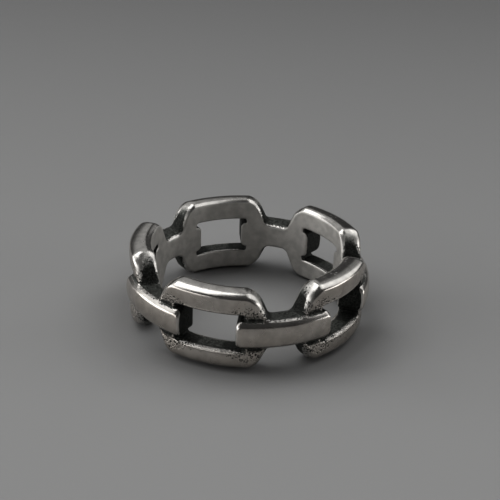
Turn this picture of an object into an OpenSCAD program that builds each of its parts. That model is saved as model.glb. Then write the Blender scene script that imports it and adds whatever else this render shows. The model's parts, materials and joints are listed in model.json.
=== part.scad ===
// Chain link ring: frame links with open windows, joined all the way round by bar links.
// It is cast in one piece and lies flat, with the finger's axis along +Z and its underside at z = 0.

/* [Ring] */
// Inside diameter, where the finger goes
inside_d = 19; // [17:0.25:23]
// Height of the band along the finger
band_h = 8.1; // [7:0.1:10]
// Number of frame links, each two joined by a bar link
link_count = 5; // [4:1:6]
// Angle of the first frame link from +X
first_link = 37; // [0:1:71]

/* [Frame links] */
// Thickness from the finger side to the outer face
frame_t = 2.2; // [1.6:0.05:3]
// Width of the metal round each window
rail_w = 2.2; // [1.6:0.05:2.6]
// Lean of the end sides from upright
end_lean = 23; // [0:1:28]
// Turn of the end sides from pointing at the ring's centre
end_turn = 12; // [0:1:20]
// Radius of the outline's corners
frame_corner = 1.5; // [0.4:0.1:1.8]
// Rounding of the outer rims at the top and the underside
frame_round = 0.65; // [0.3:0.05:1]
// Bevel of the outer edges at a frame link's ends
frame_bevel = 0.3; // [0.1:0.05:0.6]
// Rounding of the rims at the finger side
finger_round = 0.25; // [0.1:0.05:0.5]

/* [Bar links] */
// Metal left in sight between two frame links, measured at the finger side
neck_len = 2; // [1:0.1:3]
// Height that the bars stand out past the frame links
bar_rise = 0.45; // [0.2:0.05:1]
// Gap in a window above and below a bar
notch_h = 0.45; // [0.2:0.05:0.8]
// Reach of a bar's end into a window
bar_reach = 0.56; // [0.2:0.02:1]
// Radius of the outline's corners at a bar's ends
bar_corner = 0.4; // [0.1:0.05:0.6]
// Rounding of a bar's outer edges
bar_round = 0.35; // [0.1:0.05:0.6]
// Bevel of the outer edges at a bar's ends
bar_bevel = 0.25; // [0.1:0.05:0.5]

/* [Hidden] */
$fn = 128;

// Straight steps in each rounded corner
arc_steps = 7;
// Cutting shapes run past the metal by this much
over = 1;
// The end sides start to lean this far inside the bar's height, so that no corner meets its face
lean_start = 0.2;
// Colour of polished silver with a darkened finish
silver = [0.66, 0.65, 0.63];

finger_r = inside_d / 2;
frame_r = finger_r + frame_t;
bar_r = frame_r + bar_rise;
window_h = band_h - 2 * rail_w;
bar_h = window_h - 2 * notch_h;
pitch = 360 / link_count;
frame_half = pitch / 2 - finger_angle(neck_len) / 2;
window_half = frame_half - finger_angle(rail_w);
bar_half = pitch / 2 - window_half + finger_angle(bar_reach);

// Angle that a length takes up along the finger side
function finger_angle(length) = length / finger_r * 180 / PI;

// Points along an arc from one angle to another
function arc(centre, radius, from, to) =
    [for (i = [0 : arc_steps]) let (a = from + (to - from) * i / arc_steps)
        centre + radius * [cos(a), sin(a)]];

// Section of a link through the ring's axis: x is the radius and y the height from mid-band
module link_section(outer_r, height, round) {
    x = outer_r - round;
    y = height / 2 - round;
    polygon(concat(
        [[finger_r - over, -height / 2]],
        arc([x, -y], round, -90, 0),
        arc([x, y], round, 0, 90),
        [[finger_r - over, height / 2]]));
}

// What is cut off one end of a link: x runs out past the end and y up from mid-band
function end_outline(height, upright, lean, corner) =
    let (y = height / 2 - corner,
         x = -(corner + (y - upright) * sin(lean)) / cos(lean),
         top = height / 2 + over,
         far = frame_t + 4 * over)
    concat(
        [[far, -top], [far, top], [x, top]],
        arc([x, y], corner, 90, lean),
        [[0, upright], [0, -upright]],
        arc([x, -y], corner, -lean, -90),
        [[x, -top]]);

// One pass of an outline along an end, starting x out from the finger side and sloping inwards.
// The outline narrows with the slope, so that a bevel keeps its width round the corners.
module end_pass(outline, x, slope) {
    translate([x, 0, 0]) rotate([0, 0, -slope]) translate([-over, 0, 0])
        rotate([90, 0, 90]) linear_extrude(bar_r - finger_r + 3 * over)
            polygon([for (p = outline) [p.x * cos(slope), p.y]]);
}

// The end cut in place: one pass down the side, and one that bevels its outer edge
module end_cut(outline, outer_r, half, turn, bevel) {
    side = sqrt(outer_r ^ 2 - (finger_r * sin(turn)) ^ 2) - finger_r * cos(turn);
    rotate([0, 0, half]) translate([finger_r, 0, 0]) rotate([0, 0, -turn]) {
        end_pass(outline, 0, 0);
        end_pass(outline, side - bevel, 45);
    }
}

// A link centred on +X: a turned blank with both ends cut to the outline
module link(outline, outer_r, height, round, half, turn, bevel) {
    blank_half = half + finger_angle(over);
    difference() {
        rotate([0, 0, -blank_half]) rotate_extrude(angle = 2 * blank_half)
            link_section(outer_r, height, round);
        for (side = [0, 1]) mirror([0, side, 0])
            end_cut(outline, outer_r, half, turn, bevel);
    }
}

// Open window of a frame link
module window() {
    rotate([0, 0, -window_half]) rotate_extrude(angle = 2 * window_half)
        translate([finger_r - 2 * over, -window_h / 2]) square([frame_t + 4 * over, window_h]);
}

module frame_link() {
    outline = end_outline(band_h, bar_h / 2 - lean_start, end_lean, frame_corner);
    color(silver) difference() {
        link(outline, frame_r, band_h, frame_round, frame_half, end_turn, frame_bevel);
        window();
    }
}

module bar_link() {
    outline = end_outline(bar_h, bar_h / 2 - bar_corner, 0, bar_corner);
    color(silver) link(outline, bar_r, bar_h, bar_round, bar_half, 0, bar_bevel);
}

// Hole for the finger, opened out where it rounds the upper and lower rims
module finger_hole() {
    x = finger_r + finger_round;
    y = band_h / 2 - finger_round;
    rotate_extrude() polygon(concat(
        [[0, -band_h / 2 - over], [x, -band_h / 2 - over]],
        arc([x, -y], finger_round, -90, -180),
        arc([x, y], finger_round, 180, 90),
        [[x, band_h / 2 + over], [0, band_h / 2 + over]]));
}

module chain_band() {
    color(silver) translate([0, 0, band_h / 2]) rotate([0, 0, first_link]) difference() {
        for (i = [0 : link_count - 1]) rotate([0, 0, i * pitch]) {
            frame_link();
            rotate([0, 0, pitch / 2]) bar_link();
        }
        finger_hole();
    }
}

chain_band();
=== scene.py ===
"""Chain link ring in antiqued silver, lying flat on a table.

The band is one casting. One frame link with a half bar link at each end is worked out flat, as
distances to its faces, and meshed. Geometry Nodes bend it round the finger, repeat it for every
link, weld the joins and give the metal its slight unevenness.
"""

import json
import math

import bpy
import numpy as np
from bpy.props import FloatProperty, FloatVectorProperty, IntProperty, PointerProperty
from mathutils import Matrix, Vector


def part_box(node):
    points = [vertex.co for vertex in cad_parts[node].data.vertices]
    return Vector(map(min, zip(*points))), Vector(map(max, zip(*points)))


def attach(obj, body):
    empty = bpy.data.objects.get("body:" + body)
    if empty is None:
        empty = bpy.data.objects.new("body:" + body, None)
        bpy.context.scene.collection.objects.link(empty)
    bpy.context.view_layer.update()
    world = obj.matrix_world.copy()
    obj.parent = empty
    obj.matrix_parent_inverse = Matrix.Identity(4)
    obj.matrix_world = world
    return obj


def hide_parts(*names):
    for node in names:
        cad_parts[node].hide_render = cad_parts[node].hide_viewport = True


bl_info = {
    "name": "Chain Link Ring",
    "version": (1, 0, 0),
    "blender": (4, 5, 0),
    "location": "3D View > Sidebar > Ring",
    "description": "A finger ring cast as frame and bar links, with an antiqued silver finish",
    "category": "Object",
}

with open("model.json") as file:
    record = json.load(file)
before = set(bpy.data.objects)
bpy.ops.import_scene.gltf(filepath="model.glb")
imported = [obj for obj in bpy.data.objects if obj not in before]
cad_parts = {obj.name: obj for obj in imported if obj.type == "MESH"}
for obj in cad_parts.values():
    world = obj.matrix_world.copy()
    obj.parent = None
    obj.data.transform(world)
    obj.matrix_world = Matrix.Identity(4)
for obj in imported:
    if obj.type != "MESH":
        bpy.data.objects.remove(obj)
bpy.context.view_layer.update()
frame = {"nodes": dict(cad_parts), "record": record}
NODE = "chain_band"
MM = 0.001


def bore_radius():
    """Radius of the finger hole, from the record's mount."""
    for mount in frame["record"]["mounts"]:
        if mount["name"] == "finger_bore":
            return mount["dims"]["r_mm"] * MM
    raise RuntimeError("the record has no mount named finger_bore")


def outer_radius():
    """Radius of the bars' outer faces, from the CAD solid."""
    return max(math.hypot(v.co.x, v.co.y) for v in frame["nodes"][NODE].data.vertices)


FINGER_R = bore_radius()
BAR_R = outer_radius()
LOW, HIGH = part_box(NODE)


# Sizes and colours


def number(name, description, values, **kind):
    """A property from its name, its description, and its default and limits."""
    default, low, high = values
    return FloatProperty(
        name=name, description=description, default=default, min=low, max=high, **kind
    )


def length(name, description, *millimetres):
    values = [value * MM for value in millimetres]
    return number(name, description, values, precision=5, unit="LENGTH")


def angle(name, description, *degrees):
    return number(name, description, [math.radians(a) for a in degrees], subtype="ANGLE")


def watts(name, description, default):
    return number(name, description, (default, 0, 50), unit="POWER")


def share(name, description, default):
    return number(name, description, (default, 0, 1), subtype="FACTOR")


def colour(name, description, default):
    return FloatVectorProperty(
        name=name, description=description, default=default, min=0, max=1, size=3, subtype="COLOR"
    )


class BandSizes(bpy.types.PropertyGroup):
    finger_radius: length("Finger radius", "Radius of the finger hole", FINGER_R / MM, 7, 12)
    height: length("Height", "Height of the band along the finger", (HIGH.z - LOW.z) / MM, 6, 11)
    link_count: IntProperty(
        name="Links", description="Number of frame links round the band", default=5, min=4, max=6
    )
    first_link: angle("First link", "Angle of the first frame link from +X", 37, 0, 72)
    finger_round: length(
        "Finger rounding", "Rounding of the rims at the finger side", 0.36, 0.1, 0.5
    )
    window_finger_round: length(
        "Window finger rounding", "Rounding of the windows at the finger side", 0.2, 0.05, 0.5
    )
    finger_flat: length("Finger flat", "Cut of the flat polished on those rims", 0.25, 0, 0.4)
    flat_slope: angle("Flat slope", "Rise of that flat's facing above level", 58, 30, 80)
    flat_soft: length("Flat softening", "Reach of the bends along that flat", 0.12, 0.02, 0.5)
    unevenness: length("Unevenness", "Depth of the waves that polishing leaves", 0.022, 0, 0.2)
    wave_length: length("Wave length", "Length of those waves", 3.2, 1, 10)


class FrameLinkSizes(bpy.types.PropertyGroup):
    thickness: length("Thickness", "From the finger side to the outer face", 2.2, 1, 4)
    rail: length("Rail", "Height of the metal above a window", 2.2, 1, 3)
    post: length("Post", "Width of the metal beside a window", 2.3, 1, 3)
    lean: angle("Lean", "Lean of the end sides from upright", 24, 0, 28)
    lean_start: length("Lean start", "Where they start to lean, below a bar's top", 0.2, 0, 0.5)
    lean_soft: length("Lean softening", "Reach of the bend where they start", 0.3, 0.05, 1)
    bow: length("Bow", "Further lean of the end sides towards the top", 0.03, 0, 1)
    turn: angle("Turn", "Turn of the end sides from pointing at the centre", 12, 0, 20)
    corner: length("Corner", "Radius of the outline's corners", 1.3, 0.2, 2)
    crease: length("Crease", "Cut of the top across the rounded corners", 0.12, 0, 0.4)
    crease_soft: length("Crease softening", "Reach of the bend at the crease", 0.1, 0.02, 0.5)
    rim_width: length("Rim width", "Rounding of the outer rims across the top", 1.15, 0.1, 1.8)
    rim_drop: length("Rim drop", "Rounding of the outer rims down the face", 0.55, 0.1, 1)
    low_drop: length("Low rim drop", "Rounding of the lower rims up the face", 0.95, 0.1, 1.5)
    low_width: length("Low rim width", "Rounding of the lower rims across them", 1.5, 0.1, 1.8)
    side_round: length("Side rounding", "Rounding of the ends' outer edges", 0.2, 0.1, 1)
    side_wide: length("Side widening", "Rounding of those edges near the top", 0.7, 0.1, 1.5)
    window_round: length("Window rounding", "Rounding of a window's edges", 0.32, 0.05, 0.5)
    window_corner: length("Window corner", "Radius of a window's corners", 0.25, 0.1, 1)
    crown: length("Crown", "How far the rails' outer faces bulge", 0.12, 0, 0.3)


class BarLinkSizes(bpy.types.PropertyGroup):
    neck: length("Neck", "Metal in sight between two frame links", 1.8, 1, 4)
    depth: length(
        "Depth", "From the finger side to a bar's outer face", (BAR_R - FINGER_R) / MM, 1, 4
    )
    notch: length("Notch", "Gap in a window above and below a bar", 0.45, 0.1, 1)
    reach: length("Reach", "Reach of a bar's end into a window", 0.56, 0.1, 2)
    corner: length("Corner", "Radius of a bar's outline corners", 0.55, 0.1, 1)
    edge_drop: length("Edge drop", "Rounding of a bar's edges down its face", 0.72, 0.1, 1)
    edge_width: length("Edge width", "Rounding of a bar's edges across its top", 0.46, 0.1, 1)
    end_round: length("End rounding", "Rounding of the edges at a bar's ends", 0.28, 0.1, 1)
    fillet: length("Fillet", "Fillet where a bar leaves a frame link's face", 0.1, 0.05, 0.5)
    neck_fillet: length(
        "Neck fillet", "Fillet between a neck and a frame link's end", 0.32, 0.05, 1
    )
    crown: length("Crown", "How far the bars' outer faces bulge", 0.24, 0, 0.3)


class SilverFinish(bpy.types.PropertyGroup):
    silver: colour("Silver", "Colour of the polished metal", (0.70, 0.68, 0.645))
    film: colour("Film", "Colour of the silver under a thin tarnish", (0.50, 0.455, 0.405))
    oxide: colour("Darkening", "Colour of the blackened recesses", (0.012, 0.0125, 0.0115))
    polish: share("Polish", "Roughness of the polished faces", 0.2)
    satin: share("Satin", "Roughness of the finger side", 0.6)
    pit_size: length("Pit size", "Spacing of the casting pits", 0.18, 0.05, 1)


class StageLooks(bpy.types.PropertyGroup):
    floor: colour("Floor", "Colour of the table", (0.405, 0.405, 0.403))
    # Painted shade: the table's colour far behind the ring, darker to stand in for light falling
    # off
    floor_painted_falloff: colour("Far floor", "Colour of the table far behind the ring", (0.18, 0.18, 0.18))
    # Painted shadow: ambient occlusion darkens the table's colour close to the ring
    contact_shade: share("Contact shade", "How much the table darkens close to the ring", 0.7)
    shade_reach: length("Shade reach", "How far from the ring it darkens", 8, 1, 50)
    surround: number("Surround", "Brightness of the room", (0.03, 0, 2))
    over_left: watts("Overhead left", "Power of the softbox overhead on the left", 2.5)
    over_right: watts("Overhead right", "Power of the softbox overhead on the right", 0.8)
    left_low: watts("Left low", "Power of the low strip on the left", 3.9)
    left_front: watts("Left front", "Power of the low strip in front of it", 1.4)
    left_high: watts("Left high", "Power of the softbox above that strip", 1.35)
    right_low: watts("Right low", "Power of the low strip on the right", 2.1)
    right_high: watts("Right high", "Power of the softbox above that strip", 1.69)
    back_left: watts("Back left", "Power of the dim panel behind on the left", 0.72)
    back_right: watts("Back right", "Power of the dim panel behind on the right", 0.24)
    distance: length("Camera distance", "From the aim to the camera", 105.955, 50, 1000)
    elevation: angle("Camera elevation", "Height of the camera above level", 26.24, 0, 90)
    azimuth: angle("Camera azimuth", "Turn of the camera about the ring's axis", 0.384, -180, 180)
    roll: angle("Camera roll", "Tilt of the photograph", 2.092, -10, 10)
    aim_side: length("Aim sideways", "Aim of the camera to the right of the axis", 0.163, -10, 10)
    aim_height: length("Aim height", "Height of the camera's aim", 6.92, 0, 20)
    lens: number("Lens", "Focal length on a 36 mm sensor", (77.2, 10, 300))


# Distances to the band's faces


def round_max(a, b, radius):
    """The larger of two distances, which cuts one form to the other, with a rounded edge."""
    corner = np.hypot(np.maximum(a + radius, 0), np.maximum(b + radius, 0))
    return np.minimum(np.maximum(a, b), -radius) + corner


def oval_max(a, b, reach_a, reach_b):
    """The larger of two distances, with an edge rounded further along one face than the other."""
    u = np.maximum(1 + a / reach_a, 0)
    v = np.maximum(1 + b / reach_b, 0)
    size = np.hypot(u, v)
    scale = (reach_a * u * u + reach_b * v * v) / np.maximum(size * size, 1e-12)
    return np.where(size > 1e-5, (size - 1) * scale, np.maximum(a, b))


def round_min(a, b, radius):
    """The smaller of two distances, which joins two forms, with a fillet between them."""
    corner = np.hypot(np.maximum(radius - a, 0), np.maximum(radius - b, 0))
    return np.maximum(np.minimum(a, b), radius) - corner


def soft_max(a, b, reach):
    """The larger of two distances to faces that meet at a flat angle."""
    mix = np.maximum(reach - np.abs(a - b), 0) / reach
    return np.maximum(a, b) + mix * mix * reach / 4


def ease(value, low, high):
    """0 below low, 1 above high and smooth between them."""
    t = np.clip((value - low) / (high - low), 0, 1)
    return t * t * (3 - 2 * t)


def fade(value, low, high):
    """1 below low, 0 above high and smooth between them."""
    return 1 - ease(value, low, high)


def between(first, second, mix):
    return first + (second - first) * mix


# A frame link's end edges widen from this far below a bar's top to this far below the band's
WIDENS_BELOW_BAR = 0.6 * MM
WIDENS_BELOW_TOP = 1.0 * MM
# Shares of a frame link's corner between which the end's rounding turns into the rim's
CORNER_TURN = (0.1, 0.9)
# Shares of a bar's half height between which its end's rounding turns into its edge's
BAR_TURN = (0.5, 0.9)
# Distances past a frame link's end between which a bar's fillet turns into a neck's
NECK_TURN = (-0.8 * MM, -0.1 * MM)
# Distances from a window between which its rounding at the finger side turns into the rims'
WINDOW_TURN = (0.4 * MM, 1.1 * MM)


class BandForm:
    """The band as a distance: below 0 in the metal and above 0 outside it."""

    def __init__(self, band, link, bar):
        self.band, self.link, self.bar = band, link, bar
        self.radius = band.finger_radius
        self.half_height = band.height / 2
        self.half_window = self.half_height - link.rail
        self.half_bar = self.half_window - bar.notch
        self.pitch = 2 * math.pi / band.link_count
        self.pitch_length = self.pitch * self.radius
        self.frame_end = self.pitch / 2 - bar.neck / 2 / self.radius
        self.window_end = self.frame_end - link.post / self.radius
        self.bar_end = self.window_end - bar.reach / self.radius

    def folded(self, angle, depth):
        """x and y of a place brought to the first half link, which every other one repeats."""
        angle = np.abs((angle + self.pitch / 2) % self.pitch - self.pitch / 2)
        return (self.radius + depth) * np.cos(angle), (self.radius + depth) * np.sin(angle)

    def past(self, x, y, at, turn):
        """Distance past an upright plane that crosses the finger side at one angle."""
        facing = at - turn
        return (y - self.radius * math.sin(at)) * math.cos(facing) - (
            x - self.radius * math.cos(at)
        ) * math.sin(facing)

    def end_side(self, end, height):
        """Distance past a frame link's end side, which is upright beside a bar and then leans."""
        link = self.link
        upright = self.half_bar - link.lean_start
        rise = np.maximum(height - upright, 0) / (self.half_height - upright)
        lean = end * math.cos(link.lean) + (height - upright) * math.sin(link.lean)
        return soft_max(end, lean + link.bow * rise * rise, link.lean_soft)

    def outer_rounding(self, side, height, below):
        """How far a frame link's outer edge is rounded down its face and across its top."""
        link = self.link
        to_side = np.maximum(side + link.corner, 0)
        to_top = np.maximum(height - self.half_height + link.corner, 0)
        mix = ease(to_top / (to_side + to_top + 1e-9), *CORNER_TURN)
        wide = ease(height, self.half_bar - WIDENS_BELOW_BAR, self.half_height - WIDENS_BELOW_TOP)
        end_round = between(link.side_round, link.side_wide, wide)
        drop = between(link.rim_drop, link.low_drop, below)
        width = between(link.rim_width, link.low_width, below)
        return between(end_round, drop, mix), between(end_round, width, mix)

    def frame_link(self, x, y, height, depth, below):
        """Distances to a frame link, past its end and to its window."""
        link = self.link
        end = self.past(x, y, self.frame_end, link.turn)
        side = self.end_side(end, height)
        top = height - self.half_height
        outline = round_max(side, top - link.crease, link.corner)
        outline = soft_max(outline, top, link.crease_soft)
        from_middle = (top + link.rail / 2) / (link.rail / 2)
        face = depth - link.thickness + link.crown * np.clip(from_middle, -1, 1) ** 2
        solid = oval_max(outline, face, *self.outer_rounding(side, height, below))
        across = self.past(x, y, self.window_end, 0)
        window = round_max(across, height - self.half_window, link.window_corner)
        return round_max(solid, -window, link.window_round), end, window

    def bar_link(self, x, y, height, depth):
        """Distance to a bar link."""
        bar = self.bar
        reach = -self.past(x, y, self.bar_end, 0)
        outline = round_max(reach, height - self.half_bar, bar.corner)
        face = depth - bar.depth + bar.crown * (height / self.half_bar) ** 2
        mix = ease(height, *(part * self.half_bar for part in BAR_TURN))
        drop = between(bar.end_round, bar.edge_drop, mix)
        width = between(bar.end_round, bar.edge_width, mix)
        return oval_max(outline, face, drop, width)

    def finger_hole(self, body, window, depth):
        """The body cut at the finger side, with its rims rounded and a flat polished on them."""
        band = self.band
        away = ease(window, *WINDOW_TURN)
        rim = between(band.window_finger_round, band.finger_round, away)
        rounded = round_max(body, -depth, rim)
        flat = body * math.sin(band.flat_slope) - depth * math.cos(band.flat_slope)
        return soft_max(rounded, flat + band.finger_flat * away, band.flat_soft)

    def distance(self, angle, height, depth):
        """Distance at an angle round the finger, a height from mid-band and a depth outwards."""
        x, y = self.folded(angle, depth)
        below = ease(-height, 0, self.half_window)
        height = np.abs(height)
        link, end, window = self.frame_link(x, y, height, depth, below)
        bar = self.bar_link(x, y, height, depth)
        fillet = between(self.bar.fillet, self.bar.neck_fillet, ease(end, *NECK_TURN))
        return self.finger_hole(round_min(link, bar, fillet), window, depth)

    def flat(self, point):
        """Distance at points laid out flat: along the finger side, height and depth."""
        return self.distance(point[:, 0] / self.radius, point[:, 1], point[:, 2])

    def solid(self, point):
        """Distance at points in space round the finger's axis, with the height from mid-band."""
        return self.distance(
            np.arctan2(point[:, 1], point[:, 0]),
            point[:, 2],
            np.hypot(point[:, 0], point[:, 1]) - self.radius,
        )


def slope(distance, point, step):
    """How a distance changes at each point, along each axis."""
    out = np.empty_like(point)
    for axis in range(3):
        move = np.zeros(3)
        move[axis] = step
        out[:, axis] = (distance(point + move) - distance(point - move)) / (2 * step)
    return out


def bend(distance, point, step):
    """How sharply the surface bends outwards at each point: 1 over the radius of an edge."""
    total = -6 * distance(point)
    for move in step * np.concatenate([np.eye(3), -np.eye(3)]):
        total += distance(point + move)
    return total / step**2


# Mesh of one link, laid out flat


# Times that the points are evened out, and how far each then goes towards its neighbours' middle
EVENING_ROUNDS = 3
EVENING = 0.5
# Pulls that draw a point back onto the surface, and the longest of them
PULLS = 4
LONGEST_PULL = 0.05 * MM
# Step in metres for the slope along which a point is pulled, and the least square of that slope
PULL_STEP = 2e-6
LEAST_SQUARE = 0.05


def graded(*stretches):
    """Lines from 0 upwards. Each stretch is where it ends and the size of its cells."""
    lines = [0.0]
    for end, cell in stretches:
        count = max(1, round((end - lines[-1]) / cell))
        lines += list(np.linspace(lines[-1], end, count + 1)[1:])
    return np.array(lines)


def mirrored(lines):
    return np.concatenate([-lines[:0:-1], lines])


def link_lines(form):
    """Grid lines of one link: close together where edges are rounded, wide on the plain faces.

    Each stretch ends at a place and has cells of one size. The depth starts in the finger hole.
    """
    radius, link, bar = form.radius, form.link, form.bar
    mid_window = (form.bar_end * radius - 0.35 * MM, 0.22 * MM)
    link_end = (form.frame_end * radius + 0.25 * MM, 0.1 * MM)
    neck = (form.pitch_length / 2, 0.16 * MM)
    mid_bar = (form.half_bar - 0.4 * MM, 0.2 * MM)
    window_edge = (form.half_window + 0.3 * MM, 0.09 * MM)
    rail = (form.half_height - link.rim_drop, 0.16 * MM)
    rim = (form.half_height + 0.15 * MM, 0.08 * MM)
    finger_side = (0.55 * MM, 0.1 * MM)
    wall = (link.thickness - 0.6 * MM, 0.2 * MM)
    outer_face = (bar.depth + 0.3 * MM, 0.1 * MM)
    into_hole = 0.13 * MM
    return (
        mirrored(graded(mid_window, link_end, neck)),
        mirrored(graded(mid_bar, window_edge, rail, rim)),
        graded(finger_side, wall, outer_face) - into_hole,
    )


def line_crossings(value, lines, axis):
    """Which grid lines along an axis cross the surface, which start in the metal, and where."""
    low = [slice(None)] * 3
    high = [slice(None)] * 3
    low[axis] = slice(0, -1)
    high[axis] = slice(1, None)
    start, end = value[tuple(low)], value[tuple(high)]
    crosses = (start < 0) != (end < 0)
    gap = np.where(crosses, start - end, 1.0)
    t = np.where(crosses, start / gap, 0.0)
    starts = [line[:-1] if k == axis else line for k, line in enumerate(lines)]
    spots = list(np.meshgrid(*starts, indexing="ij"))
    steps = np.diff(lines[axis]).reshape([-1 if k == axis else 1 for k in range(3)])
    spots[axis] = spots[axis] + t * steps
    return crosses, start < 0, spots


def crossing_quads(number, crosses, inside, axis):
    """A quad round each crossing, between the points of the four cells that share its line."""
    u, v = (axis + 1) % 3, (axis + 2) % 3
    here = np.argwhere(crosses)
    for k in (u, v):
        here = here[(here[:, k] > 0) & (here[:, k] < number.shape[k])]
    corners = []
    for du, dv in ((-1, -1), (0, -1), (0, 0), (-1, 0)):
        at = here.copy()
        at[:, u] += du
        at[:, v] += dv
        corners.append(number[tuple(at.T)])
    quad = np.stack(corners, 1)
    out = inside[tuple(here.T)]
    return np.where(out[:, None], quad, quad[:, ::-1])


def surface_net(value, lines):
    """Points near the surface, one for each grid cell that it crosses, and quads between them.

    The first axis goes round: its last plane of cells is followed by the first again, whose
    points are numbered once more, after all the others.
    """
    cells = [len(line) - 1 for line in lines]
    total = np.zeros((*cells, 3))
    count = np.zeros(cells)
    crossings = []
    for axis in range(3):
        crosses, inside, spots = line_crossings(value, lines, axis)
        crossings.append((crosses, inside, axis))
        others = [k for k in range(3) if k != axis]
        for shift in np.ndindex(2, 2):
            part = [slice(None)] * 3
            for k, d in zip(others, shift):
                part[k] = slice(d, d + cells[k])
            part = tuple(part)
            count += crosses[part]
            for k in range(3):
                total[..., k] += np.where(crosses[part], spots[k][part], 0)
    used = count > 0
    points = total[used] / count[used][:, None]
    number = np.full(cells, -1)
    number[used] = np.arange(len(points))
    again = number[:1] + np.where(number[:1] >= 0, len(points), 0)
    number = np.concatenate([number, again])
    return points, np.concatenate([crossing_quads(number, *found) for found in crossings])


def drawn(form, points):
    """The points drawn back onto the surface."""
    for _ in range(PULLS):
        grade = slope(form.flat, points, PULL_STEP)
        square = np.maximum((grade**2).sum(1), LEAST_SQUARE)
        move = -(form.flat(points) / square)[:, None] * grade
        size = np.linalg.norm(move, axis=1)[:, None]
        points = points + move * np.minimum(1, LONGEST_PULL / np.maximum(size, 1e-12))
    return points


def settle(form, points, quads):
    """Evens out the points and draws each back onto the surface."""
    count = len(points)
    real = quads % count
    ends = np.concatenate([real[:, [k, (k + 1) % 4]] for k in range(4)])
    ends = np.concatenate([ends, ends[:, ::-1]])
    points = drawn(form, points)
    for _ in range(EVENING_ROUNDS):
        step = points[ends[:, 1]] - points[ends[:, 0]]
        step[:, 0] -= form.pitch_length * np.round(step[:, 0] / form.pitch_length)
        total = np.zeros_like(points)
        weight = np.zeros(count)
        np.add.at(total, ends[:, 0], step)
        np.add.at(weight, ends[:, 0], 1)
        points = drawn(form, points + EVENING * total / weight[:, None])
    return points


# Marks for the finish


# Names of the marks, which the mesh keeps on its points and the finish reads
MARKS = (
    "recess crevice joint near_bar by_window hollow edge worn proud finger_side finger_rim"
    " faces_out faces_along faces_down"
).split()
# Directions that each point looks in, the least rise of a look, and how much less far metal hides
VIEWS = 40
GRAZING = 0.15
FAR_LESS = 0.5
# Reaches of the looks for a wide recess and for a close crevice
RECESS_REACHES = (0.6 * MM, 1.1 * MM, 1.8 * MM, 2.8 * MM)
CREVICE_REACHES = (0.12 * MM, 0.25 * MM, 0.45 * MM)
# Step in metres for a point's facing
FACING_STEP = 4e-6
# Step for the bend of the surface, and the radius at which an edge counts in full
BEND_STEP = 0.07 * MM
SHARP_RADIUS = 0.3 * MM
# Distances between which a mark changes, along from the middle of a neck
JOINT_ALONG = (1.6 * MM, 4.4 * MM)
# and out from the finger side
FINGER_SIDE_OUT = (0.02 * MM, 0.1 * MM)
JOINT_OUT = (0.05 * MM, 0.3 * MM)
NEAR_BAR_OUT = (0.2 * MM, 0.6 * MM)
FINGER_RIM_OUT = (0.22 * MM, 0.42 * MM)
EDGE_OUT = (1.2 * MM, 1.8 * MM)
# and out from a frame link's face
PROUD_OFF_FACE = (-0.1 * MM, 0.08 * MM)
JOINT_OFF_FACE = (0.03 * MM, 0.15 * MM)
# and up from a bar's top
JOINT_UP = (0.5 * MM, 2.2 * MM)
# and up from a window's top
PROUD_UP = (-0.25 * MM, -0.15 * MM)
HOLLOW_UP = (0, 0.6 * MM)
BY_WINDOW_UP = (0.1 * MM, 0.9 * MM)
WORN_UP = (0.25 * MM, 0.7 * MM)
# and away from a bar's surface
BAR_SKIN = (0.02 * MM, 0.15 * MM)
WORN_AWAY = (0.1 * MM, 0.3 * MM)
NEAR_BAR_AWAY = (0.25 * MM, 2.0 * MM)


def ball_directions(count):
    """Directions spread evenly over a ball."""
    k = np.arange(count) + 0.5
    z = 1 - 2 * k / count
    a = math.pi * (1 + 5**0.5) * k
    r = np.sqrt(1 - z * z)
    return np.stack([r * np.cos(a), r * np.sin(a), z], 1)


def hidden(form, points, normals, reaches):
    """How much of the view from each point is blocked by metal within the given reaches."""
    total = np.zeros(len(points))
    weight = np.zeros(len(points))
    for way in ball_directions(VIEWS):
        facing = normals @ way
        seen = facing > GRAZING
        block = np.zeros(seen.sum())
        for k, reach in enumerate(reaches):
            most = 1 - FAR_LESS * k / len(reaches)
            gap = form.solid(points[seen] + reach * way) / (reach * facing[seen])
            block = np.maximum(block, most * np.clip(1 - gap, 0, 1))
        total[seen] += block * facing[seen]
        weight[seen] += facing[seen]
    return total / np.maximum(weight, 1e-9)


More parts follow.
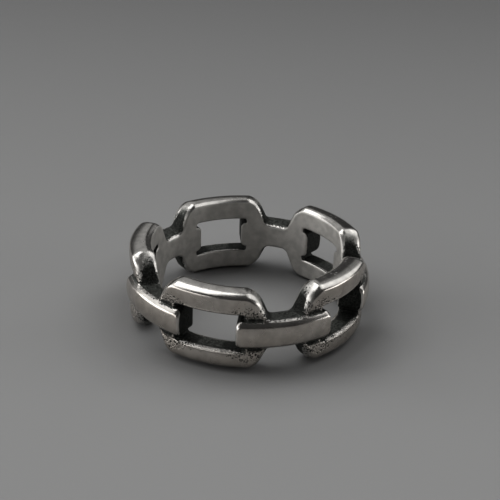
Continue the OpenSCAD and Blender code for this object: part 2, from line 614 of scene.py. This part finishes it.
def finish_marks(form, points):
    """What the finish needs to know at each point, as values from 0 to 1."""
    height = np.abs(points[:, 1])
    depth = points[:, 2]
    turned = points[:, 0] / form.radius
    out = form.radius + depth
    space = np.stack([out * np.cos(turned), out * np.sin(turned), points[:, 1]], 1)
    normals = slope(form.solid, space, FACING_STEP)
    normals /= np.linalg.norm(normals, axis=1)[:, None]
    faces_along = np.abs(normals[:, 1] * space[:, 0] - normals[:, 0] * space[:, 1]) / out
    faces_out = np.clip((normals * space)[:, :2].sum(1) / out, 0, 1)

    from_neck = form.pitch_length / 2 - np.abs(points[:, 0])
    off_face = depth - form.link.thickness
    over_window = height - form.half_window
    off_bar = form.bar_link(*form.folded(turned, depth), height, depth)
    joint = fade(from_neck, *JOINT_ALONG) * fade(off_face, *JOINT_OFF_FACE)
    joint *= ease(depth, *JOINT_OUT) * fade(height - form.half_bar, *JOINT_UP)
    near_bar = fade(off_bar, *NEAR_BAR_AWAY) * ease(off_bar, *BAR_SKIN)
    edge = np.clip(SHARP_RADIUS * bend(form.solid, space, BEND_STEP), 0, 1)
    edge *= ease(depth, *EDGE_OUT)
    proud = ease(off_face, *PROUD_OFF_FACE) * fade(over_window, *PROUD_UP)
    worn = edge * fade(over_window, *WORN_UP) * ease(off_bar, *WORN_AWAY)
    finger_side = fade(depth, *FINGER_SIDE_OUT)
    hollow = fade(over_window, *HOLLOW_UP) * (1 - faces_out**2)
    return {
        "recess": hidden(form, space, normals, RECESS_REACHES),
        "crevice": hidden(form, space, normals, CREVICE_REACHES),
        "joint": joint,
        "edge": edge,
        "worn": worn * (1 - proud),
        "faces_down": np.clip(-normals[:, 2], 0, 1),
        "finger_rim": fade(depth, *FINGER_RIM_OUT),
        "by_window": fade(over_window, *BY_WINDOW_UP),
        "near_bar": near_bar * ease(depth, *NEAR_BAR_OUT),
        "finger_side": finger_side,
        "faces_out": faces_out,
        "proud": proud * (1 - faces_along**2),
        "hollow": hollow * (1 - finger_side),
        "faces_along": faces_along,
    }


def link_blank(form):
    """Mesh of one link laid out flat, with the marks for the finish on its points."""
    lines = link_lines(form)
    grid = np.meshgrid(*lines, indexing="ij")
    value = form.flat(np.stack([g.ravel() for g in grid], 1)).reshape(grid[0].shape)
    value[-1] = value[0]
    points, quads = surface_net(value, lines)
    points = settle(form, points, quads)
    marks = finish_marks(form, points)

    needed = np.unique(quads[quads >= len(points)])
    first = needed - len(points)
    renumber = np.arange(2 * len(points))
    renumber[needed] = len(points) + np.arange(len(needed))
    every = np.concatenate([points, points[first] + [form.pitch_length, 0, 0]])
    mesh = bpy.data.meshes.new("link blank")
    mesh.from_pydata(every.tolist(), [], renumber[quads].tolist())
    for name in MARKS:
        mark = marks[name]
        store = mesh.attributes.new(name, "FLOAT", "POINT")
        store.data.foreach_set("value", np.concatenate([mark, mark[first]]).astype(np.float32))
    return mesh


# Nodes


def add(tree, kind, inputs=None, **settings):
    """A node with its settings, and its inputs given as values or as sockets to link."""
    node = tree.nodes.new(kind)
    for name, value in settings.items():
        setattr(node, name, value)
    for key, value in (inputs or {}).items():
        if isinstance(value, bpy.types.NodeSocket):
            tree.links.new(value, node.inputs[key])
        else:
            node.inputs[key].default_value = value
    return node


def maths(tree, operation, *values, clamp=False):
    node = add(
        tree, "ShaderNodeMath", dict(enumerate(values)), operation=operation, use_clamp=clamp
    )
    return node.outputs[0]


def weighted(tree, start, *terms):
    """A value plus each term, which is a mask and its weight."""
    for mask, weight in terms:
        start = maths(tree, "MULTIPLY_ADD", mask, weight, start)
    return start


def vectors(tree, operation, first, second):
    node = add(tree, "ShaderNodeVectorMath", {0: first, 1: second}, operation=operation)
    return node.outputs[0]


def scaled(tree, vector, scale):
    """A vector or a colour times a value."""
    node = add(tree, "ShaderNodeVectorMath", {0: vector, "Scale": scale}, operation="SCALE")
    return node.outputs[0]


def remap(tree, value, low, high, to_low=0.0, to_high=1.0):
    """A value eased from one range to another."""
    node = add(
        tree,
        "ShaderNodeMapRange",
        {0: value, 1: low, 2: high, 3: to_low, 4: to_high},
        interpolation_type="SMOOTHSTEP",
    )
    return node.outputs[0]


def blend_colours(tree, amount, first, second):
    """A colour between two others, which are this node's inputs 6 and 7."""
    node = add(tree, "ShaderNodeMix", {0: amount, 6: first, 7: second}, data_type="RGBA")
    return node.outputs[2]


def sockets(tree, wanted):
    """Adds the tree's named inputs and outputs and returns the inputs' identifiers."""
    made = {}
    for name, way, kind, value in wanted:
        socket = tree.interface.new_socket(name=name, in_out=way, socket_type="NodeSocket" + kind)
        if value is not None:
            socket.default_value = value
        made[name] = socket.identifier
    return made


# Points closer than this are welded at the joins between links
WELD = 0.002 * MM


def bent_link(tree, source):
    """The flat link bent round the finger."""
    flat = add(tree, "GeometryNodeInputPosition").outputs[0]
    place = add(tree, "ShaderNodeSeparateXYZ", {0: flat})
    turn = maths(tree, "DIVIDE", place.outputs[0], source["Finger Radius"])
    out = maths(tree, "ADD", place.outputs[2], source["Finger Radius"])
    bent = add(
        tree,
        "ShaderNodeCombineXYZ",
        {
            0: maths(tree, "MULTIPLY", out, maths(tree, "COSINE", turn)),
            1: maths(tree, "MULTIPLY", out, maths(tree, "SINE", turn)),
            2: maths(tree, "ADD", place.outputs[1], source["Mid Height"]),
        },
    )
    moved = add(
        tree, "GeometryNodeSetPosition", {"Geometry": source["Link"], "Position": bent.outputs[0]}
    )
    return moved.outputs[0]


def links_round(tree, source, link):
    """The link repeated round the finger and welded to its neighbours."""
    spots = add(
        tree,
        "GeometryNodeMeshLine",
        {"Count": source["Link Count"], "Offset": (0, 0, 0)},
        mode="OFFSET",
    )
    step = maths(tree, "DIVIDE", 2 * math.pi, source["Link Count"])
    index = add(tree, "GeometryNodeInputIndex").outputs[0]
    around = maths(tree, "ADD", maths(tree, "MULTIPLY", index, step), source["First Link"])
    euler = add(tree, "ShaderNodeCombineXYZ", {2: around})
    rotation = add(tree, "FunctionNodeEulerToRotation", {0: euler.outputs[0]})
    copies = add(
        tree,
        "GeometryNodeInstanceOnPoints",
        {"Points": spots.outputs["Mesh"], "Instance": link, "Rotation": rotation.outputs[0]},
    )
    real = add(tree, "GeometryNodeRealizeInstances", {0: copies.outputs[0]})
    welded = add(
        tree, "GeometryNodeMergeByDistance", {"Geometry": real.outputs[0], "Distance": WELD}
    )
    return welded.outputs[0]


def polished_waves(tree, source, mesh):
    """The mesh with shallow waves on it, but none on the finger side."""
    waves = add(
        tree,
        "ShaderNodeTexNoise",
        {
            "W": source["Seed"],
            "Scale": maths(tree, "DIVIDE", 1.0, source["Wave Length"]),
            "Detail": 1.0,
        },
        noise_dimensions="4D",
    )
    centred = maths(tree, "SUBTRACT", waves.outputs[0], 0.5)
    depth = maths(tree, "MULTIPLY", centred, source["Unevenness"])
    inside = add(
        tree, "GeometryNodeInputNamedAttribute", {"Name": "finger_side"}, data_type="FLOAT"
    )
    depth = maths(tree, "MULTIPLY", depth, maths(tree, "SUBTRACT", 1.0, inside.outputs[0]))
    push = scaled(tree, add(tree, "GeometryNodeInputNormal").outputs[0], depth)
    return add(tree, "GeometryNodeSetPosition", {"Geometry": mesh, "Offset": push}).outputs[0]


def band_tree():
    """Bends a flat link round the finger, repeats it, welds the joins and makes it uneven."""
    tree = bpy.data.node_groups.new("bend and repeat links", "GeometryNodeTree")
    ids = sockets(
        tree,
        [
            ("Link", "INPUT", "Geometry", None),
            ("Finger Radius", "INPUT", "Float", 0.0095),
            ("Mid Height", "INPUT", "Float", 0.004),
            ("Link Count", "INPUT", "Int", 5),
            ("First Link", "INPUT", "Float", 0.0),
            ("Unevenness", "INPUT", "Float", 0.0),
            ("Wave Length", "INPUT", "Float", 0.003),
            ("Seed", "INPUT", "Float", 0.0),
            ("Silver", "INPUT", "Material", None),
            ("Band", "OUTPUT", "Geometry", None),
        ],
    )
    source = tree.nodes.new("NodeGroupInput").outputs
    band = links_round(tree, source, bent_link(tree, source))
    uneven = polished_waves(tree, source, band)
    smooth = add(tree, "GeometryNodeSetShadeSmooth", {"Geometry": uneven}).outputs[0]
    finished = add(
        tree, "GeometryNodeSetMaterial", {"Geometry": smooth, "Material": source["Silver"]}
    )
    add(tree, "NodeGroupOutput", {"Band": finished.outputs[0]})
    return tree, ids


def plain_copy(blank, name, tree, values):
    """Runs a Geometry Nodes tree on an object and returns what it makes as a plain mesh object."""
    modifier = blank.modifiers.new("band", "NODES")
    modifier.node_group = tree
    for identifier, value in values.items():
        modifier[identifier] = value
    graph = bpy.context.evaluated_depsgraph_get()
    mesh = bpy.data.meshes.new_from_object(
        blank.evaluated_get(graph), preserve_all_data_layers=True, depsgraph=graph
    )
    mesh.name = name
    bpy.data.objects.remove(blank)
    made = bpy.data.objects.new(name, mesh)
    bpy.context.scene.collection.objects.link(made)
    return made


def mesh_values(parts, key, each=1, kind=int):
    """One value, or each vector's values, for every part of a mesh."""
    values = np.empty(len(parts) * each, kind)
    parts.foreach_get(key, values)
    return values


def unroll(mesh, radius):
    """A UV map in metres: along the finger side, and up the band and outwards."""
    co = mesh_values(mesh.vertices, "co", 3, float).reshape(-1, 3)
    corner = mesh_values(mesh.loops, "vertex_index")
    start = mesh_values(mesh.polygons, "loop_start")
    turned = np.arctan2(co[:, 1], co[:, 0])[corner]
    first = np.repeat(turned[start], mesh_values(mesh.polygons, "loop_total"))
    turned -= 2 * math.pi * np.round((turned - first) / (2 * math.pi))
    up = (co[:, 2] + np.hypot(co[:, 0], co[:, 1]))[corner]
    layer = mesh.uv_layers.new(name="unrolled")
    layer.data.foreach_set("uv", np.stack([turned * radius, up], 1).ravel())


# Finish


# Sizes of the noises that vary the finish, from the widest to the finest
DRIFT = 3.1 * MM
SMEAR = 2.2 * MM
CLOUD = 0.9 * MM
RAGGED = 0.17 * MM
GRAIN = 0.12 * MM
BRUSHED = 0.05 * MM
# The lines' scale along the brushing, which makes them 20 times longer than wide
BRUSHED_STRETCH = 0.05
# How much the roughness varies with the smears
SMEAR_ROUGH = 0.12
# Spans of a mask, a noise or a height over which something changes from none to full
DARK_BY_DEPTH = (0.06, 0.3)
PITS_BY_DEPTH = (0.02, 0.34)
DUST_BY_GRAIN = (0.35, 0.7)
BLACK_BY_RECESS = (0.3, 0.6)
# or, where two more values follow, from the first of them to the second
ENDS_BY_FACING = (0.4, 0.75, 0.0, 0.22)
FILM_BY_DRIFT = (0.3, 0.7, 0.75, 1.0)
JOINT_BY_DRIFT = (0.36, 0.58, 0.62, 0.92)
TONE_BY_CLOUD = (0.3, 0.7, 0.82, 1.06)
LINES_BY_FINGER_SIDE = (0.0, 1.0, 0.3, 1.0)
JOINT_BY_HEIGHT = (3.0 * MM, 5.5 * MM, 1.25, 0.85)
RAIL_BY_HEIGHT = (3.0 * MM, 5.5 * MM, 0.2, 0.04)
# Each layer of pits: its spacing beside the pit size, and the largest share of cells with a pit
PIT_LAYERS = ((1.0, 0.95), (1.45, 0.9))
# Least size of a pit and what may be added to it, and the part of it that is its floor
PIT_LEAST = 0.35
PIT_MORE = 0.24
PIT_FLOOR = 0.45
# How far the pits are moved out of their rows, and the scale of the noise that moves them
PIT_SHIFT = 0.9
SHIFT_SCALE = 0.9
# Brightness of the finger side beside the polished faces
FINGER_SIDE_TONE = 0.83
# Brightness of the darkening where it is dusty and where it lies open
DUSTY = 5
OPEN_GREY = 3.2
# Depth of the pits and grain, and of the brushed lines
PIT_DEPTH = 0.04 * MM
LINE_DEPTH = 0.006 * MM


def pits_group():
    """Small casting pits: a mask of dots whose share of the surface is given."""
    tree = bpy.data.node_groups.new("casting pits", "ShaderNodeTree")
    sockets(
        tree,
        [
            ("Vector", "INPUT", "Vector", None),
            ("Spacing", "INPUT", "Float", 0.0002),
            ("Share", "INPUT", "Float", 0.3),
            ("Pits", "OUTPUT", "Float", None),
        ],
    )
    source = tree.nodes.new("NodeGroupInput").outputs
    scale = maths(tree, "DIVIDE", 1.0, source["Spacing"])
    wider = maths(tree, "MULTIPLY", scale, SHIFT_SCALE)
    shift = add(
        tree, "ShaderNodeTexNoise", {"Vector": source["Vector"], "Scale": wider, "Detail": 1.0}
    )
    centred = vectors(tree, "SUBTRACT", shift.outputs[1], (0.5, 0.5, 0.5))
    reach = maths(tree, "MULTIPLY", source["Spacing"], PIT_SHIFT)
    moved = vectors(tree, "ADD", source["Vector"], scaled(tree, centred, reach))
    cells = add(tree, "ShaderNodeTexVoronoi", {"Vector": moved, "Scale": scale})
    pick = add(tree, "ShaderNodeSeparateColor", {0: cells.outputs["Color"]})
    chosen = maths(tree, "LESS_THAN", pick.outputs[0], source["Share"])
    size = maths(tree, "MULTIPLY_ADD", pick.outputs[1], PIT_MORE, PIT_LEAST)
    floor = maths(tree, "MULTIPLY", size, PIT_FLOOR)
    dot = remap(tree, cells.outputs["Distance"], size, floor)
    add(tree, "NodeGroupOutput", {"Pits": maths(tree, "MULTIPLY", chosen, dot)})
    return tree


class SilverNodes:
    """The nodes of the silver: masks made of marks and noises, and what the shader takes."""

    def __init__(self, tree, finish):
        self.tree, self.finish = tree, finish
        self.place = add(tree, "ShaderNodeTexCoord").outputs["Object"]
        self.marks = {
            name: add(tree, "ShaderNodeAttribute", attribute_name=name).outputs["Fac"]
            for name in MARKS
        }
        self.drift = self.noise(self.place, DRIFT, 1.0)
        self.cloud = self.noise(self.place, CLOUD, 3.0)
        self.grain = self.noise(self.place, GRAIN, 3.0, 0.6)
        self.ends = remap(tree, self.marks["faces_along"], *ENDS_BY_FACING)
        self.strip = self.times(self.marks["faces_along"], self.marks["faces_out"])
        self.film = self.film_mask()
        deep = self.depth_in_recess()
        self.dark = self.dark_mask(deep)
        self.pit = self.pit_mask(deep)
        self.black = maths(tree, "MAXIMUM", self.dark, self.pit)

    def noise(self, vector, size, detail=2.0, rough=0.5):
        node = add(
            self.tree,
            "ShaderNodeTexNoise",
            {"Vector": vector, "Scale": 1 / size, "Detail": detail, "Roughness": rough},
        )
        return node.outputs[0]

    def times(self, first, second):
        return maths(self.tree, "MULTIPLY", first, second)

    def power(self, mark, exponent):
        return maths(self.tree, "POWER", self.marks[mark], exponent)

    def minus(self, value, amount):
        return maths(self.tree, "SUBTRACT", value, amount)

    def film_mask(self):
        """A thin film of tarnish on what faces outwards."""
        drifting = remap(self.tree, self.drift, *FILM_BY_DRIFT)
        return self.times(self.power("faces_out", 3.0), drifting)

    def depth_in_recess(self):
        """How deep in a recess each place lies, made ragged by noise."""
        tree, marks = self.tree, self.marks
        ragged = self.noise(self.place, RAGGED, 2.0, 0.6)
        patchy = weighted(
            tree, 0.0, (self.minus(ragged, 0.5), 0.36), (self.minus(self.cloud, 0.5), 0.25)
        )
        calm = weighted(tree, 1.0, (marks["faces_along"], -0.4))
        calm = maths(tree, "MULTIPLY_ADD", marks["proud"], -0.7, calm, clamp=True)
        return weighted(
            tree,
            marks["recess"],
            (marks["crevice"], 1.1),
            (self.ends, 1.0),
            (marks["hollow"], 0.22),
            (patchy, calm),
            (marks["finger_side"], -0.8),
        )

    def dark_mask(self, deep):
        """The darkening, which polishing took off whatever stands out."""
        tree, marks = self.tree, self.marks
        high = weighted(tree, 1.0, (marks["by_window"], -0.8))
        rubbed = weighted(
            tree,
            deep,
            (self.power("faces_out", 2.0), -0.4),
            (marks["edge"], -0.5),
            (marks["proud"], -0.6),
            (marks["finger_rim"], -0.5),
            (self.times(self.strip, high), -0.5),
            (self.power("near_bar", 3.0), 0.42),
            (self.times(marks["worn"], self.minus(self.grain, 0.6)), 3.0),
        )
        return remap(tree, rubbed, *DARK_BY_DEPTH)

    def pit_mask(self, deep):
        """Casting pits, which gather in recesses, round the bars and low on the band."""
        tree, marks = self.tree, self.marks
        height = add(tree, "ShaderNodeSeparateXYZ", {0: self.place}).outputs[2]
        patchy = self.times(marks["joint"], remap(tree, self.drift, *JOINT_BY_DRIFT))
        off_bar = self.minus(1.0, marks["proud"])
        rail = self.times(remap(tree, height, *RAIL_BY_HEIGHT), off_bar)
        cast = weighted(
            tree,
            deep,
            (patchy, remap(tree, height, *JOINT_BY_HEIGHT)),
            (marks["near_bar"], 0.5),
            (marks["by_window"], rail),
            (marks["edge"], -0.6),
            (self.strip, -0.8),
            (marks["proud"], -0.8),
            (marks["finger_rim"], -0.6),
        )
        group = pits_group()
        layers = []
        for wider, most in PIT_LAYERS:
            inputs = {
                "Vector": self.place,
                "Spacing": wider * self.finish.pit_size,
                "Share": remap(tree, cast, *PITS_BY_DEPTH, 0.0, most),
            }
            layers.append(add(tree, "ShaderNodeGroup", inputs, node_tree=group).outputs[0])
        return maths(tree, "MAXIMUM", *layers)

    def silver_colour(self):
        """Polished silver, warm under the film, a little darker on the finger side, and with
        painted shade on faces that look down.
        """
        tree, marks, finish = self.tree, self.marks, self.finish
        clean = blend_colours(tree, self.film, (*finish.silver, 1), (*finish.film, 1))
        inner = (*(FINGER_SIDE_TONE * c for c in finish.silver), 1)
        clean = blend_colours(tree, marks["finger_side"], clean, inner)
        # Painted shade: faces that look down are darkened, standing in for the shaded table they
        # reflect
        painted_underside_shade = weighted(tree, 1.0, (marks["faces_down"], -0.3))
        tone = self.times(remap(tree, self.cloud, *TONE_BY_CLOUD), painted_underside_shade)
        return scaled(tree, clean, tone)

    def oxide_colour(self):
        """The darkening: black in the deep, and greyer where it is dusty or lies open."""
        tree, marks, finish = self.tree, self.marks, self.finish
        dusty = remap(tree, self.grain, *DUST_BY_GRAIN)
        dust = (*(DUSTY * c for c in finish.oxide), 1)
        oxide = blend_colours(tree, dusty, (*finish.oxide, 1), dust)
        closed = weighted(
            tree, marks["recess"], (marks["faces_along"], 0.3), (marks["near_bar"], 1.0)
        )
        closed = remap(tree, closed, *BLACK_BY_RECESS)
        closed = maths(tree, "MAXIMUM", closed, self.pit)
        return blend_colours(tree, closed, scaled(tree, oxide, OPEN_GREY), oxide)

    def colour(self):
        return blend_colours(self.tree, self.black, self.silver_colour(), self.oxide_colour())

    def roughness(self):
        polish, satin = self.finish.polish, self.finish.satin
        return weighted(
            self.tree,
            polish - SMEAR_ROUGH / 2,
            (self.noise(self.place, SMEAR), SMEAR_ROUGH),
            (self.film, 0.08),
            (self.marks["finger_side"], satin - polish),
            (self.ends, 0.8),
            (self.black, 0.3),
        )

    def normal(self):
        """Pits, grain and brushed lines as bump, too small for the mesh."""
        tree, marks = self.tree, self.marks
        relief = weighted(
            tree,
            self.times(self.pit, -1.0),
            (self.times(self.grain, self.dark), 0.6),
            (self.times(self.grain, marks["worn"]), 3.0),
        )
        bump = add(
            tree, "ShaderNodeBump", {"Height": relief, "Strength": 0.9, "Distance": PIT_DEPTH}
        )
        unrolled = add(tree, "ShaderNodeUVMap", uv_map="unrolled").outputs[0]
        stretched = add(
            tree, "ShaderNodeMapping", {"Vector": unrolled, "Scale": (BRUSHED_STRETCH, 1.0, 1.0)}
        )
        brushed = self.noise(stretched.outputs[0], BRUSHED, 3.0, 0.7)
        fine = remap(tree, marks["finger_side"], *LINES_BY_FINGER_SIDE)
        lines = add(
            tree,
            "ShaderNodeBump",
            {
                "Height": self.times(brushed, fine),
                "Strength": 0.4,
                "Distance": LINE_DEPTH,
                "Normal": bump.outputs[0],
            },
        )
        return lines.outputs[0]


def silver_material(finish):
    """Polished silver outside, satin on the finger side, blackened and pitted in the recesses."""
    material = bpy.data.materials.new("antique silver")
    material.use_nodes = True
    tree = material.node_tree
    tree.nodes.clear()
    nodes = SilverNodes(tree, finish)
    shader = add(
        tree,
        "ShaderNodeBsdfPrincipled",
        {
            "Base Color": nodes.colour(),
            "Metallic": 1.0,
            "Roughness": nodes.roughness(),
            "Normal": nodes.normal(),
        },
    )
    add(tree, "ShaderNodeOutputMaterial", {"Surface": shader.outputs[0]})
    return material


# Stage


# Half the side of the table, and the distances behind the ring's axis over which its colour
# darkens as painted shade for light falling off
TABLE_HALF = 3.0
TABLE_PAINTED_FALLOFF = (-0.06, 0.2)
# Width of the camera's sensor in millimetres
SENSOR_WIDTH = 36
# What the softboxes point at
LIGHT_AIM = Vector((0, 0, 0.004))
# Each softbox: its power's name in StageLooks, its place, width and depth
SOFTBOXES = (
    ("over_left", (-0.386, 0.25, 0.955), 0.73, 0.50),
    ("over_right", (0.364, 0.238, 0.98), 0.73, 0.42),
    ("left_low", (-1.0, 0.0, 0.22), 0.80, 0.42),
    ("left_front", (-0.79, -0.61, 0.22), 0.60, 0.42),
    ("left_high", (-0.78, 0.11, 0.61), 0.70, 0.56),
    ("right_low", (0.994, 0.0, 0.18), 0.62, 0.36),
    ("right_high", (0.69, 0.40, 0.69), 0.73, 0.76),
    ("back_left", (-0.40, 0.63, 0.67), 1.06, 0.70),
    ("back_right", (0.48, 0.63, 0.67), 0.70, 0.70),
)


def floor_material(looks):
    """A plain table with painted shade: darker far behind the ring, standing in for light falling
    off, and a painted contact shadow close to it.
    """
    material = bpy.data.materials.new("table top")
    material.use_nodes = True
    tree = material.node_tree
    shader = tree.nodes["Principled BSDF"]
    place = add(tree, "ShaderNodeTexCoord").outputs["Object"]
    behind = add(tree, "ShaderNodeSeparateXYZ", {0: place}).outputs[1]
    # Painted shade: the table darkens behind the ring, standing in for light falling off
    far = remap(tree, behind, *TABLE_PAINTED_FALLOFF)
    tone = blend_colours(tree, far, (*looks.floor, 1), (*looks.floor_painted_falloff, 1))
    # Painted contact shadow: ambient occlusion darkens the table's colour close to the ring
    near = add(
        tree,
        "ShaderNodeAmbientOcclusion",
        {"Color": tone, "Distance": looks.shade_reach},
        samples=8,
    )
    shaded = blend_colours(tree, looks.contact_shade, tone, near.outputs["Color"])
    tree.links.new(shaded, shader.inputs["Base Color"])
    shader.inputs["Roughness"].default_value = 0.7
    shader.inputs["Specular IOR Level"].default_value = 0.2
    return material


def table_top(looks):
    side = TABLE_HALF
    outline = [(-side, -side, 0), (side, -side, 0), (side, side, 0), (-side, side, 0)]
    mesh = bpy.data.meshes.new("table_top")
    mesh.from_pydata(outline, [], [(0, 1, 2, 3)])
    mesh.materials.append(floor_material(looks))
    return bpy.data.objects.new("table_top", mesh)


def softbox(name, place, width, depth, power):
    light = bpy.data.lights.new(name, "AREA")
    light.shape = "RECTANGLE"
    light.size = width
    light.size_y = depth
    light.energy = power
    made = bpy.data.objects.new(name, light)
    made.location = place
    way = LIGHT_AIM - Vector(place)
    made.rotation_euler = way.to_track_quat("-Z", "Y").to_euler()
    return made


def studio(looks):
    """The dim room round the softboxes."""
    world = bpy.data.worlds.new("studio")
    world.use_nodes = True
    background = world.node_tree.nodes["Background"]
    background.inputs[0].default_value = (1, 1, 1, 1)
    background.inputs[1].default_value = looks.surround
    return world


def photo_camera(looks):
    """The camera where the photograph was taken, tilted as the photograph is."""
    turn = Matrix.Rotation(looks.azimuth, 3, "Z")
    rise, roll = looks.elevation, looks.roll
    back = Vector((0, -math.cos(rise), math.sin(rise)))
    right = Vector((1, 0, 0))
    up = Vector((0, math.sin(rise), math.cos(rise)))
    level = right * math.cos(roll) + up * math.sin(roll)
    upright = up * math.cos(roll) - right * math.sin(roll)
    place = Vector((looks.aim_side, 0, looks.aim_height)) + back * looks.distance
    camera = bpy.data.cameras.new("camera")
    camera.sensor_width = SENSOR_WIDTH
    camera.lens = looks.lens
    camera.clip_start = 0.005
    camera.clip_end = 10
    made = bpy.data.objects.new("camera", camera)
    axes = Matrix((turn @ level, turn @ upright, turn @ back)).transposed()
    made.matrix_world = Matrix.Translation(turn @ place) @ axes.to_4x4()
    return made


# Operators


class AddChainBand(bpy.types.Operator):
    """Make the cast band of frame links and bar links"""

    bl_idname = "ring.add_chain_band"
    bl_label = "Add Chain Band"

    def execute(self, context):
        scene = context.scene
        band, finish = scene.ring_band, scene.ring_finish
        form = BandForm(band, scene.ring_frame_links, scene.ring_bar_links)
        blank = bpy.data.objects.new("link blank", link_blank(form))
        scene.collection.objects.link(blank)
        tree, ids = band_tree()
        made = plain_copy(
            blank,
            "chain_link_band",
            tree,
            {
                ids["Finger Radius"]: band.finger_radius,
                ids["Mid Height"]: LOW.z + band.height / 2,
                ids["Link Count"]: band.link_count,
                ids["First Link"]: band.first_link,
                ids["Unevenness"]: band.unevenness,
                ids["Wave Length"]: band.wave_length,
                ids["Seed"]: 4.0,
                ids["Silver"]: silver_material(finish),
            },
        )
        unroll(made.data, band.finger_radius)
        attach(made, "root")
        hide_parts(NODE)
        return {"FINISHED"}


class SetRingStage(bpy.types.Operator):
    """Lay the table, set the lights and place the camera"""

    bl_idname = "ring.set_stage"
    bl_label = "Set Stage"

    def execute(self, context):
        scene = context.scene
        looks = scene.ring_stage
        floor = table_top(looks)
        scene.collection.objects.link(floor)
        for key, place, width, depth in SOFTBOXES:
            name = key.replace("_", " ") + " softbox"
            light = softbox(name, place, width, depth, getattr(looks, key))
            scene.collection.objects.link(light)
        camera = photo_camera(looks)
        scene.collection.objects.link(camera)
        scene.camera = camera
        scene.world = studio(looks)
        scene.view_settings.view_transform = "Standard"
        return {"FINISHED"}


class RingPanel(bpy.types.Panel):
    bl_idname = "VIEW3D_PT_chain_link_ring"
    bl_label = "Chain Link Ring"
    bl_space_type = "VIEW_3D"
    bl_region_type = "UI"
    bl_category = "Ring"

    def draw(self, context):
        for title, name, _ in PARTS:
            box = self.layout.box()
            box.label(text=title)
            group = getattr(context.scene, name)
            for key in group.__annotations__:
                box.prop(group, key)
        self.layout.operator(AddChainBand.bl_idname)
        self.layout.operator(SetRingStage.bl_idname)


PARTS = (
    ("Band", "ring_band", BandSizes),
    ("Frame links", "ring_frame_links", FrameLinkSizes),
    ("Bar links", "ring_bar_links", BarLinkSizes),
    ("Finish", "ring_finish", SilverFinish),
    ("Stage", "ring_stage", StageLooks),
)
CLASSES = [*(group for _, _, group in PARTS), AddChainBand, SetRingStage, RingPanel]


def register():
    for cls in CLASSES:
        bpy.utils.register_class(cls)
    for _, name, group in PARTS:
        setattr(bpy.types.Scene, name, PointerProperty(type=group))


def unregister():
    for _, name, _ in PARTS:
        delattr(bpy.types.Scene, name)
    for cls in reversed(CLASSES):
        bpy.utils.unregister_class(cls)


def corners(box):
    return [[round(x, 7) for x in corner] for corner in box]


def main():
    register()
    bpy.ops.ring.set_stage()
    bpy.ops.ring.add_chain_band()


if __name__ == "__main__":
    main()
